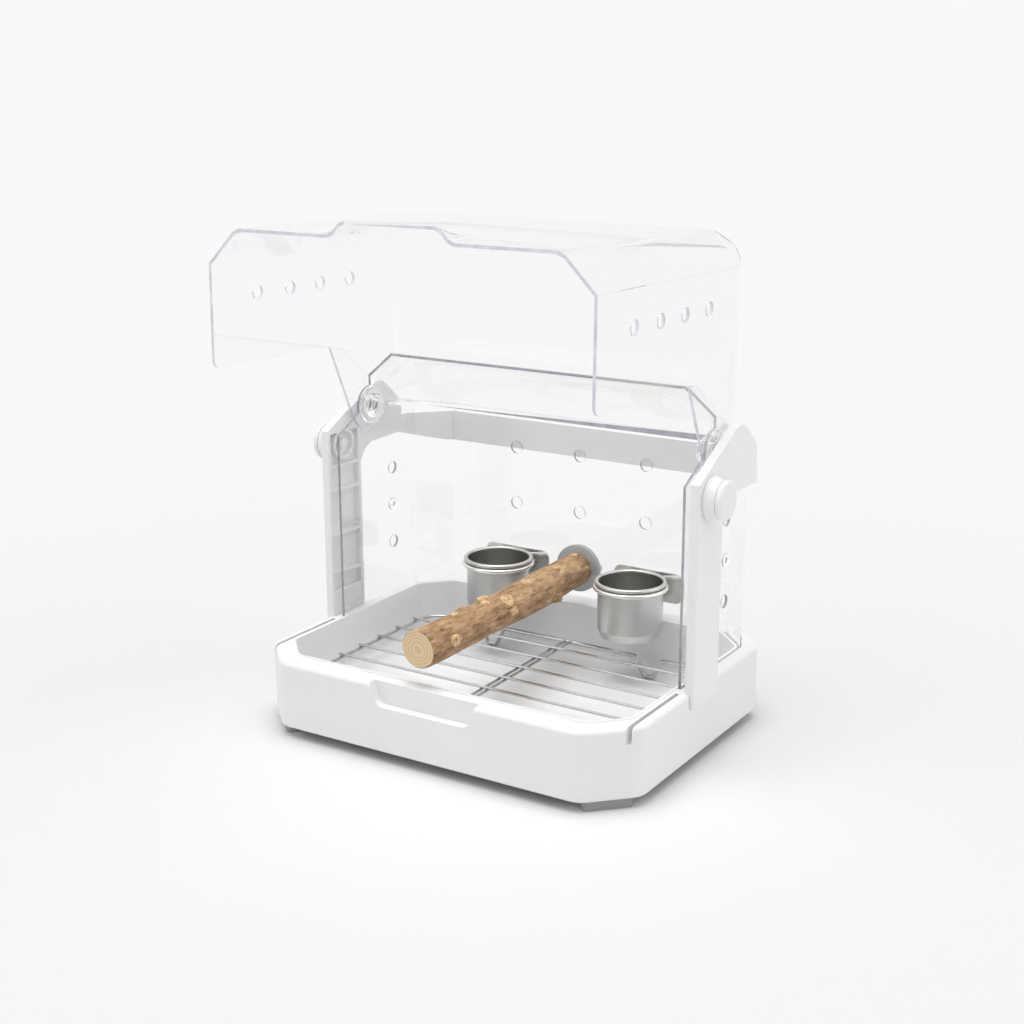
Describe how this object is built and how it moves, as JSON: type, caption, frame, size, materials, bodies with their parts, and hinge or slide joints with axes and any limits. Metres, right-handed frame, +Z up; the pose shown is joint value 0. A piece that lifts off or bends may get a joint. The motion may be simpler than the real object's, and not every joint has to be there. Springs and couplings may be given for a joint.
{
  "type": "bird cage",
  "caption": "Small clear travel bird cage with a white tub, a swinging clear cover, steel cups on the rear wall, a wire floor grid and a branch perch.",
  "frame": {"origin": "on the floor, under the middle of the tub", "axes": "+X to the right seen from the front, +Y to the rear, +Z up; the cover closes towards -Y"},
  "size_m": [0.3372, 0.2684, 0.3733],
  "materials": {
    "white": "satin white plastic",
    "rubber": "matt",
    "clear": "clear acrylic",
    "bark": "natural bark",
    "steel": "brushed",
    "washer_gray": "translucent gray",
    "chrome": "bright wire"
  },
  "bodies": {
    "base": {"tub": "white", "corner_feet": "rubber", "left_arm": "white", "right_arm": "white", "rear_crossbar": "white", "left_foot_clip": "white", "right_foot_clip": "white", "clear_hood": "clear", "vent_plugs": "clear", "left_hinge_pin": "clear", "right_hinge_pin": "clear", "hinge_washers": "clear", "perch_branch": "bark", "perch_bolt": "steel", "perch_washer": "washer_gray", "perch_rear_washer": "steel", "left_cup_holder": "steel", "right_cup_holder": "steel", "holder_bolts": "steel", "holder_nuts": "steel"},
    "cover": {"clear_cover": "clear"},
    "left_cup": {"left_cup": "steel"},
    "right_cup": {"right_cup": "steel"},
    "grid": {"grid_border": "chrome", "grid_long_rods": "chrome", "grid_cross_rods": "chrome"},
    "left_knob": {"left_knob": "white"},
    "right_knob": {"right_knob": "white"},
    "wing_nut": {"perch_wing_nut": "steel"}
  },
  "joints": [
    {"name": "cover_hinge", "type": "hinge", "parent": "base", "child": "cover", "pos_m": [0, 0.02085, 0.21545], "axis": [1, 0, 0], "range_deg": [0, 91.2]},
    {"name": "left_cup_lift", "type": "slide", "parent": "base", "child": "left_cup", "axis": [0, 0, 1], "range_m": [0, 0.06]},
    {"name": "right_cup_lift", "type": "slide", "parent": "base", "child": "right_cup", "axis": [0, 0, 1], "range_m": [0, 0.06]},
    {"name": "grid_lift", "type": "slide", "parent": "base", "child": "grid", "axis": [0, 0, 1], "range_m": [0, 0.012]},
    {"name": "left_knob_turn", "type": "hinge", "parent": "base", "child": "left_knob", "pos_m": [-0.162, -0.005, 0.1895], "axis": [-1, 0, 0], "continuous": true},
    {"name": "right_knob_turn", "type": "hinge", "parent": "base", "child": "right_knob", "pos_m": [0.162, -0.005, 0.1895], "axis": [1, 0, 0], "continuous": true},
    {"name": "wing_nut_turn", "type": "hinge", "parent": "base", "child": "wing_nut", "pos_m": [-0.003, 0.1057, 0.088], "axis": [0, 1, 0], "continuous": true}
  ]
}
